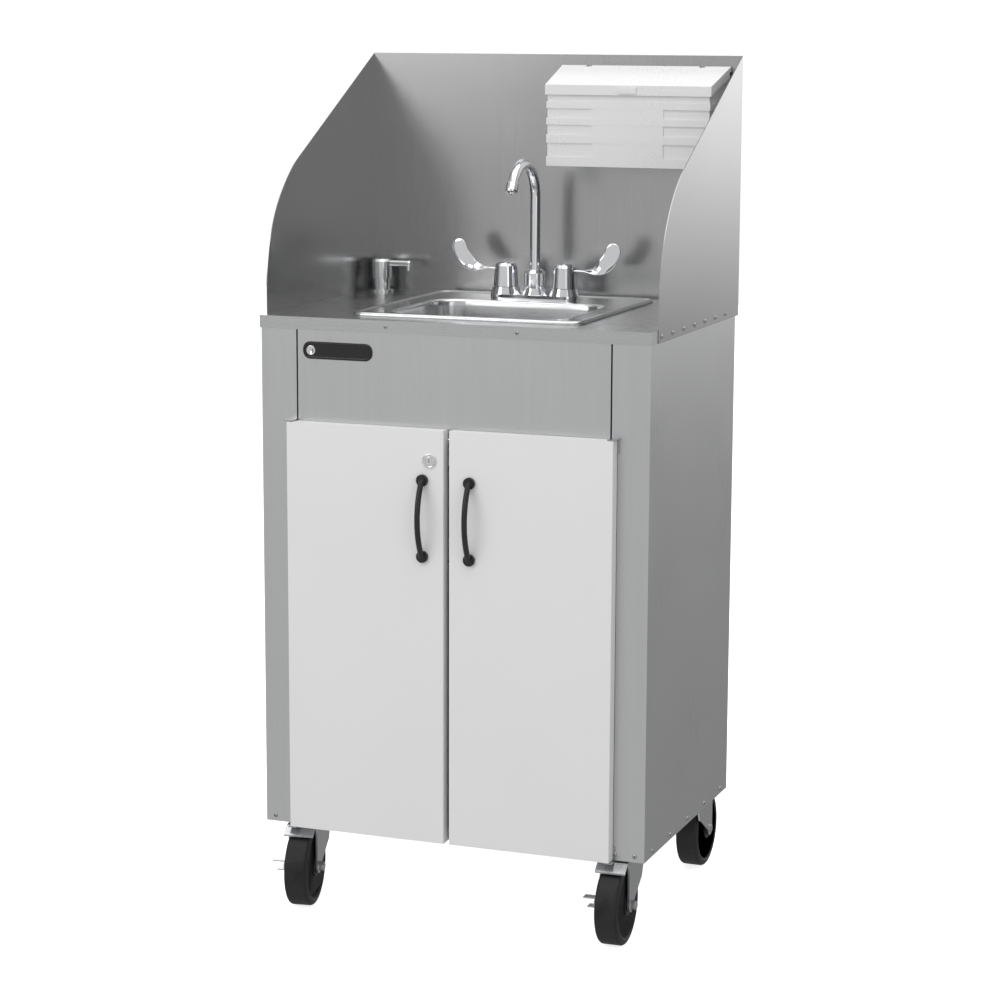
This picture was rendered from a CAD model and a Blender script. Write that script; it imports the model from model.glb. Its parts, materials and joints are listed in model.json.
import json
import math

import bmesh
import bpy
from mathutils import Matrix, Vector


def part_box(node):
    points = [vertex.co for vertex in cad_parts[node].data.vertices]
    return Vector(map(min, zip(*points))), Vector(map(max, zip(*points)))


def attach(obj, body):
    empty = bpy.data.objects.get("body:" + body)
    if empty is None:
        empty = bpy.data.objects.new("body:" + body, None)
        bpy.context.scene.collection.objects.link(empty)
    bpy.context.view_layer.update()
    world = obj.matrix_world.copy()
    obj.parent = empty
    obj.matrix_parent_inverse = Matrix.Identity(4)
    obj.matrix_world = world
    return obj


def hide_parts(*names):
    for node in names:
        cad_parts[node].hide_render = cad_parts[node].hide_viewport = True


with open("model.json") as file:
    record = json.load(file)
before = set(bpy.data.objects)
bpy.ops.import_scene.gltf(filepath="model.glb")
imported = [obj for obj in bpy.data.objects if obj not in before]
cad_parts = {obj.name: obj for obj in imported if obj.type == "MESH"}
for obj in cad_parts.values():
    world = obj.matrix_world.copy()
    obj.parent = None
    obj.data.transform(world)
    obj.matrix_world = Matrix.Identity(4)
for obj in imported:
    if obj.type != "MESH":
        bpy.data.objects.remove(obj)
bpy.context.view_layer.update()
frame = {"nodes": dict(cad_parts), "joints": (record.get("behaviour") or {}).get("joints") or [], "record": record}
MM = 0.001
nodes = frame["nodes"]
FRONT_LEVEL, BACK_LEVEL, BEHIND_GLOW = 0.62, 0.30, 1.5


# ---- camera, light and floor ----

def link(obj):
    bpy.context.scene.collection.objects.link(obj)
    return obj


def make_camera():
    yaw, pitch, roll = (math.radians(a) for a in (20.72, 10.05, -0.22))
    forward = Vector((-math.sin(yaw) * math.cos(pitch), math.cos(yaw) * math.cos(pitch), -math.sin(pitch)))
    right = Vector((math.cos(yaw), math.sin(yaw), 0))
    down = forward.cross(right)
    side = right * math.cos(roll) + down * math.sin(roll)
    below = -right * math.sin(roll) + down * math.cos(roll)
    camera = link(bpy.data.objects.new("camera", bpy.data.cameras.new("camera")))
    turn = Matrix((side, -below, -forward)).transposed().to_4x4()
    camera.matrix_world = Matrix.Translation((1.527, -4.059, 1.410)) @ turn
    camera.data.lens = 98.4
    camera.data.sensor_width = 36
    bpy.context.scene.camera = camera


def make_world():
    """White behind the object; in reflections, brighter in front than behind."""
    bpy.context.scene.view_settings.view_transform = "Standard"
    world = bpy.data.worlds.new("studio")
    bpy.context.scene.world = world
    world.use_nodes = True
    tree = world.node_tree
    tree.nodes.clear()
    place = tree.nodes.new("ShaderNodeTexCoord")
    split = tree.nodes.new("ShaderNodeSeparateXYZ")
    tree.links.new(place.outputs["Generated"], split.inputs[0])

    def slope(axis, start, end, low, high):
        ramp = tree.nodes.new("ShaderNodeMapRange")
        ramp.interpolation_type = "SMOOTHSTEP"
        for name, value in (("From Min", start), ("From Max", end), ("To Min", low), ("To Max", high)):
            ramp.inputs[name].default_value = value
        tree.links.new(split.outputs[axis], ramp.inputs["Value"])
        return ramp.outputs["Result"]

    def combine(operation, a, b):
        node = tree.nodes.new("ShaderNodeMath")
        node.operation = operation
        tree.links.new(a, node.inputs[0])
        tree.links.new(b, node.inputs[1])
        return node.outputs[0]

    behind = combine("MULTIPLY", slope("Z", -0.14, 0.02, 0, BEHIND_GLOW), slope("Y", 0.55, 0.9, 0, 1))
    level = combine("ADD", slope("Y", -0.9, 0.8, FRONT_LEVEL, BACK_LEVEL), behind)
    studio = tree.nodes.new("ShaderNodeBackground")
    tree.links.new(level, studio.inputs["Color"])
    backdrop = tree.nodes.new("ShaderNodeBackground")
    backdrop.inputs["Color"].default_value = (1, 1, 1, 1)
    backdrop.inputs["Strength"].default_value = 1.05
    path = tree.nodes.new("ShaderNodeLightPath")
    mix = tree.nodes.new("ShaderNodeMixShader")
    tree.links.new(path.outputs["Is Camera Ray"], mix.inputs["Fac"])
    tree.links.new(studio.outputs[0], mix.inputs[1])
    tree.links.new(backdrop.outputs[0], mix.inputs[2])
    out = tree.nodes.new("ShaderNodeOutputWorld")
    tree.links.new(mix.outputs[0], out.inputs["Surface"])


def area_light(name, at, towards, size, energy):
    data = bpy.data.lights.new(name, "AREA")
    data.shape = "RECTANGLE"
    data.size, data.size_y = size
    data.energy = energy
    lamp = link(bpy.data.objects.new(name, data))
    aim = (Vector(towards) - Vector(at)).to_track_quat("-Z", "Y")
    lamp.matrix_world = Matrix.Translation(at) @ aim.to_matrix().to_4x4()
    return lamp


def reflection_card(name, corners, levels):
    """A card seen only in reflections, with a brightness at each corner."""
    mesh = bpy.data.meshes.new(name)
    mesh.from_pydata(corners, [], [(0, 1, 2, 3)])
    layer = mesh.color_attributes.new("level", "FLOAT_COLOR", "POINT")
    for item, level in zip(layer.data, levels):
        item.color = (level, level, level, 1)
    material = bpy.data.materials.new(name)
    material.use_nodes = True
    tree = material.node_tree
    tree.nodes.clear()
    colour = tree.nodes.new("ShaderNodeVertexColor")
    colour.layer_name = "level"
    glow = tree.nodes.new("ShaderNodeEmission")
    tree.links.new(colour.outputs["Color"], glow.inputs["Color"])
    out = tree.nodes.new("ShaderNodeOutputMaterial")
    tree.links.new(glow.outputs[0], out.inputs["Surface"])
    mesh.materials.append(material)
    card = link(bpy.data.objects.new(name, mesh))
    card.visible_camera = card.visible_diffuse = card.visible_shadow = False


def make_floor():
    size = 9
    mesh = bpy.data.meshes.new("floor")
    mesh.from_pydata([(-size, -size, 0), (size, -size, 0), (size, size, 0), (-size, size, 0)], [], [(0, 1, 2, 3)])
    floor = link(bpy.data.objects.new("floor", mesh))
    mesh.materials.append(plain("floor", (0.93, 0.93, 0.93), 0.75, grain=30, vary=0.01, relief=0,
                                Emission_Color=(1, 1, 1, 1), Emission_Strength=0.8))
    floor.visible_glossy = floor.visible_diffuse = False


def make_lights():
    area_light("top", (0.2, -0.4, 3.6), (0, 0, 0.8), (3.6, 3.6), 58)
    area_light("key", (-2.4, -3.4, 2.5), (0, 0, 0.8), (2.2, 2.2), 34)
    area_light("fill", (3.2, -3.0, 1.6), (0, 0, 0.7), (1.8, 2.4), 10)
    reflection_card("dark_left", [(-1.9, -1.2, 0.2), (-1.75, -1.75, 0.2), (-1.75, -1.75, 2.6), (-1.9, -1.2, 2.6)],
                    (0.02,) * 4)
    reflection_card("dark_right", [(2.0, -1.6, 0.2), (2.1, -1.1, 0.2), (2.1, -1.1, 2.6), (2.0, -1.6, 2.6)],
                    (0.02,) * 4)


# ---- materials ----

class Builder:
    """A Principled material and short ways of adding its procedural nodes."""

    def __init__(self, name, colour, metallic, roughness, **sockets):
        self.material = bpy.data.materials.new(name)
        self.material.use_nodes = True
        self.tree = self.material.node_tree
        self.shader = self.tree.nodes["Principled BSDF"]
        self.colour = (*colour, 1)
        self.shader.inputs["Base Color"].default_value = self.colour
        self.shader.inputs["Metallic"].default_value = metallic
        self.shader.inputs["Roughness"].default_value = roughness
        for socket, value in sockets.items():
            self.shader.inputs[socket.replace("_", " ")].default_value = value
        self.place = self.tree.nodes.new("ShaderNodeTexCoord")

    def noise(self, scale, detail=3, stretch=(1, 1, 1), shift=0):
        mapping = self.tree.nodes.new("ShaderNodeMapping")
        mapping.inputs["Scale"].default_value = stretch
        mapping.inputs["Location"].default_value = (shift, shift * 0.7, shift * 1.3)
        self.tree.links.new(self.place.outputs["Object"], mapping.inputs["Vector"])
        noise = self.tree.nodes.new("ShaderNodeTexNoise")
        noise.inputs["Scale"].default_value = scale
        noise.inputs["Detail"].default_value = detail
        self.tree.links.new(mapping.outputs["Vector"], noise.inputs["Vector"])
        return noise.outputs["Fac"]

    def span(self, value, low, high, edge=0.25):
        ramp = self.tree.nodes.new("ShaderNodeMapRange")
        settings = (("From Min", edge), ("From Max", 1 - edge), ("To Min", low), ("To Max", high))
        for name, number in settings:
            ramp.inputs[name].default_value = number
        self.tree.links.new(value, ramp.inputs["Value"])
        return ramp.outputs["Result"]

    def add(self, a, b):
        node = self.tree.nodes.new("ShaderNodeMath")
        node.operation = "ADD"
        self.tree.links.new(a, node.inputs[0])
        self.tree.links.new(b, node.inputs[1])
        return node.outputs[0]

    def tint(self, value, amount):
        mix = self.tree.nodes.new("ShaderNodeMix")
        mix.data_type = "RGBA"
        mix.inputs["A"].default_value = tuple(c * (1 - amount) for c in self.colour[:3]) + (1,)
        mix.inputs["B"].default_value = tuple(min(1, c * (1 + amount)) for c in self.colour[:3]) + (1,)
        self.tree.links.new(value, mix.inputs["Factor"])
        self.tree.links.new(mix.outputs["Result"], self.shader.inputs["Base Color"])

    def roughness(self, value):
        self.tree.links.new(value, self.shader.inputs["Roughness"])

    def bump(self, value, strength, distance):
        bump = self.tree.nodes.new("ShaderNodeBump")
        bump.inputs["Strength"].default_value = strength
        bump.inputs["Distance"].default_value = distance
        self.tree.links.new(value, bump.inputs["Height"])
        self.tree.links.new(bump.outputs["Normal"], self.shader.inputs["Normal"])


def brushed(name, colour, roughness=0.3, along="Z", grain=1.0, shift=0):
    """Sheet steel with a fine grain along one axis and faint smudges."""
    b = Builder(name, colour, 1, roughness)
    stretch = {"X": (0.012, 1, 1), "Y": (1, 0.012, 1), "Z": (1, 1, 0.012)}[along]
    lines = b.noise(1600, 2, stretch, shift)
    streaks = b.noise(160, 2, stretch, shift + 3)
    smudge = b.noise(5, 3, shift=shift)
    fine = b.span(lines, -0.05 * grain, 0.05 * grain)
    b.roughness(b.add(fine, b.span(smudge, roughness - 0.03, roughness + 0.04)))
    b.tint(b.add(b.span(lines, 0, 0.6), b.span(streaks, 0, 0.4)), 0.05 * grain)
    b.bump(lines, 0.03 * grain, 0.0002)
    return b.material


def chrome(name, colour=(0.84, 0.85, 0.87), roughness=0.05):
    b = Builder(name, colour, 1, roughness)
    spots = b.noise(60, 4)
    b.roughness(b.span(spots, roughness - 0.02, roughness + 0.04))
    b.tint(b.noise(14, 2), 0.03)
    b.bump(b.noise(180, 2), 0.02, 0.0002)
    return b.material


def plain(name, colour, roughness, grain=500, vary=0.03, relief=0.08, **sockets):
    """Plastic, paint or rubber: a moulded skin with slight unevenness."""
    b = Builder(name, colour, 0, roughness, **sockets)
    skin = b.noise(grain, 4)
    patches = b.noise(7, 3)
    b.roughness(b.add(b.span(skin, -0.04, 0.04), b.span(patches, roughness - 0.04, roughness + 0.05)))
    b.tint(b.add(b.span(skin, 0, 0.4), b.span(patches, 0, 0.6)), vary)
    if relief:
        b.bump(skin, relief, 0.0005)
    return b.material


def rubber(name, colour=(0.018, 0.018, 0.02)):
    """Moulded rubber with dust and scuffs."""
    b = Builder(name, colour, 0, 0.45, Specular_IOR_Level=0.3)
    dust = b.noise(35, 6)
    scuff = b.noise(220, 3)
    b.roughness(b.add(b.span(scuff, -0.06, 0.06), b.span(dust, 0.36, 0.56)))
    b.tint(b.add(b.span(dust, -0.2, 0.7), b.span(scuff, 0, 0.5)), 0.5)
    b.bump(scuff, 0.12, 0.0005)
    return b.material


def paint_all():
    """One finish for each material slot of the record, laid on every CAD node."""
    finishes = {
        "cabinet_steel": brushed("cabinet_steel", (0.60, 0.605, 0.61), 0.31, grain=0.6),
        "guard_steel": brushed("guard_steel", (0.45, 0.45, 0.45), 0.22, grain=0.6, shift=5),
        "worktop_steel": brushed("worktop_steel", (0.56, 0.565, 0.57), 0.28, "X", 0.5, shift=9),
        "fastener_steel": chrome("fastener_steel", (0.44, 0.44, 0.45), 0.25),
        "faucet_chrome": chrome("faucet_chrome"),
        "soap_chrome": chrome("soap_chrome", (0.78, 0.79, 0.80), 0.12),
        "lock_chrome": chrome("lock_chrome", (0.80, 0.80, 0.81), 0.10),
        "door_laminate": plain("door_laminate", (0.86, 0.86, 0.86), 0.42, 1400, 0.012, 0.05),
        "handle_black": plain("handle_black", (0.012, 0.012, 0.014), 0.33, 700, 0.15, 0.06),
        "badge_black": plain("badge_black", (0.010, 0.009, 0.010), 0.28, 500, 0.15, 0.03),
        "box_plastic": plain("box_plastic", (0.80, 0.80, 0.80), 0.30, 260, 0.008, 0.02),
        "tank_clear": plain("tank_clear", (0.72, 0.76, 0.80), 0.35, 120, 0.04, 0.08),
        "tank_grey": plain("tank_grey", (0.24, 0.25, 0.27), 0.42, 120, 0.06, 0.08),
        "cap_blue": plain("cap_blue", (0.02, 0.07, 0.28), 0.36, 300, 0.06, 0.06),
        "pump_black": plain("pump_black", (0.02, 0.02, 0.022), 0.40, 400, 0.15, 0.08),
        "heater_white": plain("heater_white", (0.80, 0.80, 0.79), 0.18, 60, 0.02, 0.03),
        "hose_grey": plain("hose_grey", (0.46, 0.47, 0.49), 0.45, 500, 0.06, 0.08),
        "brass_nut": chrome("brass_nut", (0.72, 0.50, 0.20), 0.25),
        "bottle_white": plain("bottle_white", (0.76, 0.76, 0.73), 0.38, 150, 0.03, 0.06),
        "switch_grey": plain("switch_grey", (0.36, 0.37, 0.38), 0.45, 300, 0.05, 0.08),
        "inlet_black": plain("inlet_black", (0.02, 0.02, 0.022), 0.40, 400, 0.15, 0.06),
        "caster_zinc": brushed("caster_zinc", (0.56, 0.57, 0.58), 0.28, grain=0.6, shift=2),
        "wheel_rubber": rubber("wheel_rubber"),
        "basin_steel": brushed("basin_steel", (0.66, 0.665, 0.67), 0.20, "X", 0.5, shift=7),
    }
    for part in frame["record"]["subparts"]:
        for place in nodes[part["node"]].material_slots:
            place.material = finishes[part["material_slot"]]
    return finishes


# ---- mesh helpers ----

def piece(name, mesh, material, body, smooth=True, replaces=()):
    if smooth:
        mesh.polygons.foreach_set("use_smooth", [True] * len(mesh.polygons))
    mesh.materials.append(material)
    obj = link(bpy.data.objects.new(name, mesh))
    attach(obj, body)
    if replaces:
        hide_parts(*replaces)
    return obj


def loft(name, rings, closed_ends=(False, False)):
    """A skin over rings that all have the same number of points."""
    count = len(rings[0])
    verts = [p for ring in rings for p in ring]
    faces = []
    for i in range(len(rings) - 1):
        for k in range(count):
            n = (k + 1) % count
            faces.append((i * count + k, i * count + n, (i + 1) * count + n, (i + 1) * count + k))
    if closed_ends[0]:
        faces.append(tuple(reversed(range(count))))
    if closed_ends[1]:
        faces.append(tuple((len(rings) - 1) * count + k for k in range(count)))
    mesh = bpy.data.meshes.new(name)
    mesh.from_pydata(verts, [], faces)
    work = bmesh.new()
    work.from_mesh(mesh)
    bmesh.ops.recalc_face_normals(work, faces=work.faces)
    work.to_mesh(mesh)
    work.free()
    return mesh


def rounded_ring(centre, width, depth, radius, z, corner=12, side=8):
    """Points round a rounded rectangle, as many for every size."""
    arcs = []
    for quarter, (sx, sy) in enumerate(((1, -1), (1, 1), (-1, 1), (-1, -1))):
        px = centre[0] + sx * (width / 2 - radius)
        py = centre[1] + sy * (depth / 2 - radius)
        angles = [math.radians(90 * (quarter - 1 + i / corner)) for i in range(corner + 1)]
        arcs.append([Vector((px + radius * math.cos(a), py + radius * math.sin(a), z)) for a in angles])
    ring = []
    for arc, following in zip(arcs, arcs[1:] + arcs[:1]):
        ring += arc + [arc[-1].lerp(following[0], i / side) for i in range(1, side)]
    return ring


def soften(names, width, segments=2):
    """Rounds the sharp edges of CAD nodes with a modifier."""
    for name in names:
        bevel = nodes[name].modifiers.new("soft_edges", "BEVEL")
        bevel.width = width
        bevel.segments = segments
        bevel.limit_method = "ANGLE"
        bevel.angle_limit = math.radians(50)
        bevel.harden_normals = True


def middle(node):
    low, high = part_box(node)
    return (low + high) / 2


def islands(obj):
    """(lowest, highest) corner of each separate solid in a CAD node."""
    places, parent = {}, []
    for v in obj.data.vertices:
        key = tuple(round(c * 1e5) for c in v.co)
        if key not in places:
            places[key] = len(parent)
            parent.append(len(parent))

    def root(i):
        while parent[i] != i:
            parent[i] = parent[parent[i]]
            i = parent[i]
        return i

    index = [places[tuple(round(c * 1e5) for c in v.co)] for v in obj.data.vertices]
    for edge in obj.data.edges:
        parent[root(index[edge.vertices[0]])] = root(index[edge.vertices[1]])
    groups = {}
    for v in obj.data.vertices:
        groups.setdefault(root(index[v.index]), []).append(v.co)
    return [(Vector(map(min, zip(*g))), Vector(map(max, zip(*g)))) for g in groups.values()]


# ---- pieces ----

def make_basin():
    """Drawn basin: rolled rim, sunk deck, lipped bowl with round corners, floor falling to the drain."""
    low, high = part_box("sink_basin")
    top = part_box("countertop")[1].z
    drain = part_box("drain_flange")
    bowl = ((drain[0].x + drain[1].x) / 2, (drain[0].y + drain[1].y) / 2)
    floor = drain[1].z - 1.6 * MM
    centre = ((low.x + high.x) / 2, (low.y + high.y) / 2)
    side, corner = high.x - low.x, 24 * MM
    bowl_w, bowl_d, bowl_r, foot = 290 * MM, 240 * MM, 45 * MM, 34 * MM
    roll = ((0, 0.2), (0, 2.2), (1.1, 4.3), (3.0, 5.6), (5.2, 6.0), (7.4, 5.6), (9.3, 4.5), (11, 3.5), (13.5, 3.2))
    lip = ((10, 3.2), (5, 3.0), (2, 2.3), (0.3, 0.8), (-0.6, -1.5), (-1.2, -8))
    rings = [rounded_ring(centre, side - 2 * i * MM, side - 2 * i * MM, corner - i * MM * 0.8, top + h * MM)
             for i, h in roll]
    rings += [rounded_ring(bowl, bowl_w + 2 * i * MM, bowl_d + 2 * i * MM, bowl_r + i * MM, top + h * MM)
              for i, h in lip]
    steps = 9
    for i in range(steps + 1):
        a = math.radians(90 * i / steps)
        inset = 7 * MM + foot * (1 - math.cos(a))
        radius = max(bowl_r - inset, 12 * MM)
        fall = 1.5 * MM
        rings.append(rounded_ring(bowl, bowl_w - 2 * inset, bowl_d - 2 * inset, radius,
                                  floor + fall + foot * (1 - math.sin(a))))
    rings.append(rounded_ring(bowl, 130 * MM, 112 * MM, 50 * MM, floor + 0.7 * MM))
    rings.append(rounded_ring(bowl, 56 * MM, 56 * MM, 28 * MM, floor))
    obj = piece("basin", loft("basin", rings), finishes["basin_steel"], "cabinet",
                replaces=["sink_basin"])
    shell = obj.modifiers.new("sheet", "SOLIDIFY")
    shell.thickness = 0.9 * MM
    shell.offset = -1


def make_blade(side, hub, node, body):
    """Wrist blade: a flat bar that leaves the hub level, curves up and twists to face forwards."""
    low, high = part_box(hub)
    root = Vector(((low.x + high.x) / 2, (low.y + high.y) / 2, high.z - 10.4 * MM))
    start, bend_x, bend_r, bend, tip = 13, 40, 44, math.radians(74), 15
    straight, arc = bend_x - start, bend_r * bend
    length = straight + arc + tip
    rings = []
    count, points = 48, 24
    for i in range(count + 1):
        s = length * i / count
        if s < straight:
            x, z, a = start + s, 0, 0
        else:
            a = min((s - straight) / bend_r, bend)
            over = max(0, s - straight - arc)
            x = bend_x + bend_r * math.sin(a) + over * math.cos(a)
            z = bend_r * (1 - math.cos(a)) + over * math.sin(a)
        share = s / length
        turn = min(1, max(0, (share - 0.16) / 0.42))
        turn = turn * turn * (3 - 2 * turn) * math.pi / 2
        grow = min(1, max(0, (share - 0.12) / 0.55))
        half = 4.6 + 8.6 * grow * grow * (3 - 2 * grow)
        past = max(0, s - straight - arc) / tip
        half *= math.sqrt(max(0.004, 1 - past * past))
        thick = 1.6 * (1 - 0.7 * past ** 6)
        normal = Vector((-math.sin(a), 0, math.cos(a)))
        across = Vector((0, math.cos(turn), 0)) + normal * math.sin(turn)
        through = Vector((0, -math.sin(turn), 0)) + normal * math.cos(turn)
        ring = []
        for k in range(points):
            t = 2 * math.pi * k / points
            u = math.copysign(abs(math.cos(t)) ** 0.6, math.cos(t)) * half
            v = math.copysign(abs(math.sin(t)) ** 0.6, math.sin(t)) * thick
            p = Vector((x, 0, z)) + across * u + through * v
            ring.append(root + Vector((p.x * side, p.y, p.z)) * MM)
        rings.append(ring)
    piece(node + "_bar", loft(node, rings, (True, True)), finishes["faucet_chrome"], body,
          replaces=[node])


def lathe(name, profile, centre, axis, segments=40):
    """A closed turned piece from (radius, height along the axis) points."""
    axis = Vector(axis).normalized()
    side = axis.orthogonal().normalized()
    other = axis.cross(side)
    rings = []
    for r, h in profile:
        rings.append([Vector(centre) + axis * h
                      + (side * math.cos(a) + other * math.sin(a)) * max(r, 1e-5)
                      for a in (2 * math.pi * k / segments for k in range(segments))])
    return loft(name, rings, (True, True))


def joined(name, meshes):
    """One mesh from several."""
    work = bmesh.new()
    for mesh in meshes:
        work.from_mesh(mesh)
    whole = bpy.data.meshes.new(name)
    work.to_mesh(whole)
    work.free()
    return whole


def prism(name, outline, origin, u, v, w, thickness):
    """A flat outline in (u, v), thickened both ways along w."""
    rings = [[origin + u * a + v * b + w * t for a, b in outline] for t in (-thickness / 2, thickness / 2)]
    return loft(name, rings, (True, True))


def make_screws():
    """Domed screws with a cross recess, one on each place of the CAD node's."""
    heads, crosses = [], []
    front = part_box("countertop")[0].y
    for low, high in islands(nodes["cabinet_screws"]):
        centre, size = (low + high) / 2, high - low
        if abs(centre.x) > 0.312:
            axis = Vector((math.copysign(1, centre.x), 0, 0))
        elif centre.y > 0.21 and centre.z < 0.3:
            axis = Vector((0, 1, 0))
        else:
            axis = Vector((0, -1, 0))
        across = min(size[k] for k in range(3) if abs(axis[k]) < 0.5)
        r = across / 2
        reach = max(axis.dot(low), axis.dot(high))
        face = centre + axis * (reach - axis.dot(centre) - 1.9 * MM)
        dome = [(r, -0.4 * MM), (r, 0.3 * MM), (r * 0.94, 0.8 * MM), (r * 0.78, 1.35 * MM),
                (r * 0.55, 1.7 * MM), (r * 0.3, 1.85 * MM), (0.01 * MM, 1.9 * MM)]
        heads.append(lathe("head", dome, face, axis, 24))
        u = Vector((0, 0, 1)) if abs(axis.z) < 0.5 else Vector((1, 0, 0))
        v = axis.cross(u)
        turn = math.radians(37 * (len(heads) % 5))
        a, b = u * math.cos(turn) + v * math.sin(turn), v * math.cos(turn) - u * math.sin(turn)
        for p, q in ((a, b), (b, a)):
            arm = [(-r * 0.5, -r * 0.11), (r * 0.5, -r * 0.11), (r * 0.5, r * 0.11), (-r * 0.5, r * 0.11)]
            crosses.append(prism("arm", arm, face + axis * 1.55 * MM, p, q, axis, 0.72 * MM))
    piece("screw_heads", joined("screw_heads", heads), finishes["fastener_steel"], "cabinet",
          replaces=["cabinet_screws"])
    piece("screw_recesses", joined("screw_recesses", crosses), finishes["handle_black"], "cabinet",
          smooth=False)


def make_badge():
    """Plain pill-ended plate with a raised border and a blank disc at one end."""
    low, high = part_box("badge_plate")
    centre, front = (low + high) / 2, low.y + 0.6 * MM
    width, height = (high.x - low.x) / MM, (high.z - low.z) / MM

    def ring(inset, y, radius):
        flat = rounded_ring((0, 0), width - 2 * inset, height - 2 * inset, radius - inset, 0)
        return [Vector((centre.x + p.x * MM, y, centre.z + p.y * MM)) for p in flat]

    back = high.y
    steps = ((0, back), (0, front + 0.8 * MM), (0.5, front), (1.6, front), (1.9, front - 0.5 * MM),
             (2.6, front - 0.5 * MM), (2.9, front), (4.2, front))
    plate = loft("plate", [ring(inset, y, 12) for inset, y in steps], (True, True))
    disc_at = (centre.x - width / 2 * MM + 13.5 * MM, front, centre.z)
    disc = lathe("disc", [(0, 0.1 * MM), (5.6 * MM, 0.1 * MM), (5.9 * MM, 0.5 * MM), (7.2 * MM, 0.5 * MM),
                          (7.5 * MM, 0.05 * MM), (7.5 * MM, -0.2 * MM)], disc_at, (0, -1, 0))
    piece("badge", plate, finishes["badge_black"], "cabinet", replaces=["badge_plate"])
    piece("badge_disc", disc, finishes["lock_chrome"], "cabinet")


def make_lock():
    """Stepped face of the cam lock, with a dark ring and keyway."""
    low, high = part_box("lock_barrel")
    centre = Vector(((low.x + high.x) / 2, low.y, (low.z + high.z) / 2))
    out = Vector((0, -1, 0))
    r = (high.x - low.x) / 2
    rim = [(r, -3 * MM), (r, -0.5 * MM), (r - 0.5 * MM, 0), (r - 2 * MM, 0), (r - 2.8 * MM, -0.9 * MM),
           (r - 3.6 * MM, -0.9 * MM), (r - 4.2 * MM, -0.2 * MM), (r - 5 * MM, 0), (0, 0)]
    face = lathe("lock_face", [(a, b + 0.4 * MM) for a, b in rim], centre, out, 48)
    piece("lock_face", face, finishes["lock_chrome"], "lock")
    ring = lathe("lock_ring", [(r - 3.7 * MM, -0.6 * MM), (r - 3.7 * MM, -0.42 * MM),
                               (r - 2.7 * MM, -0.42 * MM), (r - 2.7 * MM, -0.6 * MM)], centre, out, 48)
    slot = prism("keyway", [(-0.9 * MM, -3 * MM), (0.9 * MM, -3 * MM), (0.9 * MM, 1.2 * MM), (1.6 * MM, 1.6 * MM),
                            (1.6 * MM, 2.6 * MM), (0.6 * MM, 3.2 * MM), (-0.6 * MM, 3.2 * MM),
                            (-1.6 * MM, 2.6 * MM), (-1.6 * MM, 1.6 * MM), (-0.9 * MM, 1.2 * MM)],
                 centre + out * 0.3 * MM, Vector((1, 0, 0)), Vector((0, 0, 1)), out, 0.5 * MM)
    piece("lock_dark", joined("lock_dark", [ring, slot]), finishes["handle_black"], "lock",
          smooth=False)


def make_wheel_details():
    """Ribs between each wheel's hub and rim, a bead on the sidewalls and the hub's bushing."""
    for joint in frame["joints"]:
        if not joint["name"].endswith("_spin"):
            continue
        body = joint["child"]
        centre, axis = Vector(joint["pos_m"]), Vector(joint["axis"]).normalized()
        up = Vector((0, 0, 1))
        out = axis.cross(up)
        parts = []
        ribs = 8
        for side in (-1, 1):
            for i in range(ribs):
                a = 2 * math.pi * (i + 0.5) / ribs
                u = up * math.cos(a) + out * math.sin(a)
                rib = [(15, 3), (15, 13), (24, 9.5), (38, 9), (51.5, 12), (51.5, 3)]
                outline = [(x * MM, y * MM) for x, y in rib]
                parts.append(prism("rib", outline, centre, u, axis * side, u.cross(axis), 3.2 * MM))
            bead = []
            for k in range(9):
                t = math.pi * k / 8
                bead.append(((55 + 1.6 * math.cos(t)) * MM, side * (17.9 + 0.9 * math.sin(t)) * MM))
            parts.append(lathe("bead", bead, centre, axis, 64))
        piece(body + "_ribs", joined(body, parts), finishes["wheel_rubber"], body, smooth=False)
        bushes = [lathe("bush", [(r * MM, side * h * MM) for r, h in ((5.4, 19.4), (9.4, 19.4), (9.8, 19.9),
                                                                     (9.4, 20.3), (5.4, 20.3))], centre, axis)
                  for side in (-1, 1)]
        piece(body + "_bushes", joined(body + "_bushes", bushes), finishes["caster_zinc"], body,
              smooth=False)


def ring_band(name, centre, axis, inner, outer, half, segments=56):
    """A raised band with rounded edges round a turned part."""
    soft = (outer - inner) * 0.45
    profile = [(inner, -half), (outer - soft, -half), (outer, -half + soft), (outer, half - soft),
               (outer - soft, half), (inner, half)]
    return lathe(name, profile, centre, axis, segments)


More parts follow.
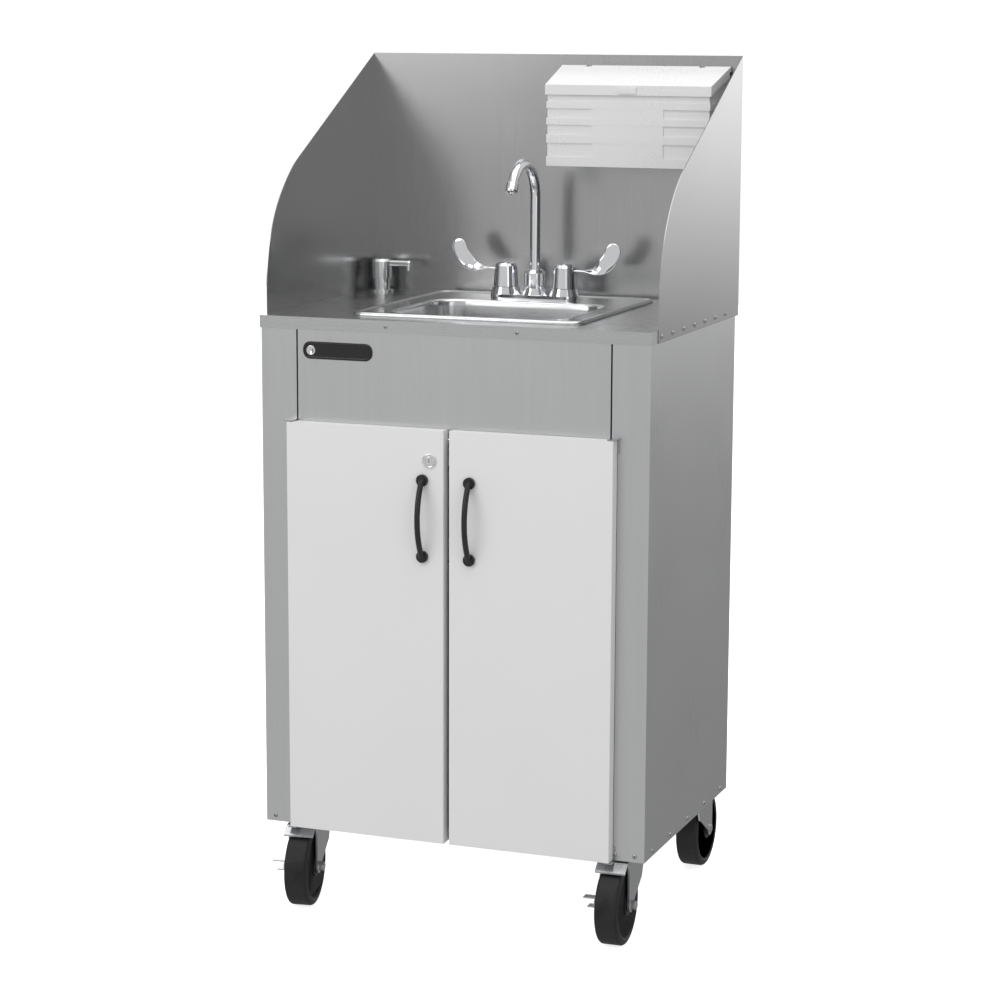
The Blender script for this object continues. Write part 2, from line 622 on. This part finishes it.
def make_tank_bands():
    """Moulded bands round each tank."""
    for node, slot in (("fresh_tank", "tank_clear"), ("waste_tank", "tank_grey")):
        low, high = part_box(node)
        centre, height = ((low.x + high.x) / 2, (low.y + high.y) / 2), 290 * MM
        bands = []
        for share in (0.2, 0.4, 0.6, 0.8):
            z = low.z + height * share
            rings = [rounded_ring(centre, high.x - low.x + 2 * g * MM, high.y - low.y + 2 * g * MM,
                                  (26 + g) * MM, z + h * MM)
                     for g, h in ((-1, -7), (0.2, -7), (1.6, -5), (1.6, 5), (0.2, 7), (-1, 7))]
            bands.append(loft("band", rings))
        piece(node + "_bands", joined(node + "_bands", bands), finishes[slot], "cabinet")


def make_plumbing_details():
    """Fins on the pump's motor, bands on the heater and clamps on the hose ends."""
    low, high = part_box("water_pump")
    axis_y, axis_z = low.y + 27 * MM, (low.z + high.z) / 2
    fins = [ring_band("fin", (low.x + (6 + 5.5 * i) * MM, axis_y, axis_z), (1, 0, 0), 19 * MM, 22.5 * MM, 1 * MM)
            for i in range(7)]
    piece("pump_fins", joined("pump_fins", fins), finishes["pump_black"], "cabinet")
    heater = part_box("water_heater")
    centre = ((heater[0].x + heater[1].x) / 2, heater[0].y + 60 * MM)
    bands = [ring_band("band", (*centre, heater[0].z + h * MM), (0, 0, 1), 59 * MM, 61.2 * MM, 5 * MM)
             for h in (8, 162)]
    piece("heater_bands", joined("heater_bands", bands), finishes["fastener_steel"], "cabinet")
    stubs = [(low.x + (70 + x) * MM, axis_y, axis_z + z * MM) for x, z in ((16, 48), (-16, 48), (16, -48))]
    stubs += [(centre[0] + x * MM, centre[1], heater[1].z + 6 * MM) for x in (-28, 28)]
    clamps = [ring_band("clamp", at, (0, 0, 1), 5.8 * MM, 8 * MM, 4 * MM, 32) for at in stubs]
    piece("hose_clamps", joined("hose_clamps", clamps), finishes["fastener_steel"], "cabinet")


make_camera()
make_world()
make_floor()
make_lights()
finishes = paint_all()
make_basin()
make_blade(-1, "hot_hub", "hot_blade", "hot_handle")
make_blade(1, "cold_hub", "cold_blade", "cold_handle")
make_screws()
make_badge()
make_lock()
make_wheel_details()
make_tank_bands()
make_plumbing_details()
soften(["fresh_tank", "waste_tank", "left_brake_lever", "right_brake_lever"], 0.8 * MM, 2)
soften(["front_left_fork", "front_right_fork", "rear_left_fork", "rear_right_fork"], 0.5 * MM, 2)
soften(["left_door", "right_door"], 1.2 * MM, 3)
soften(["towel_box", "towel_lid"], 0.7 * MM, 2)
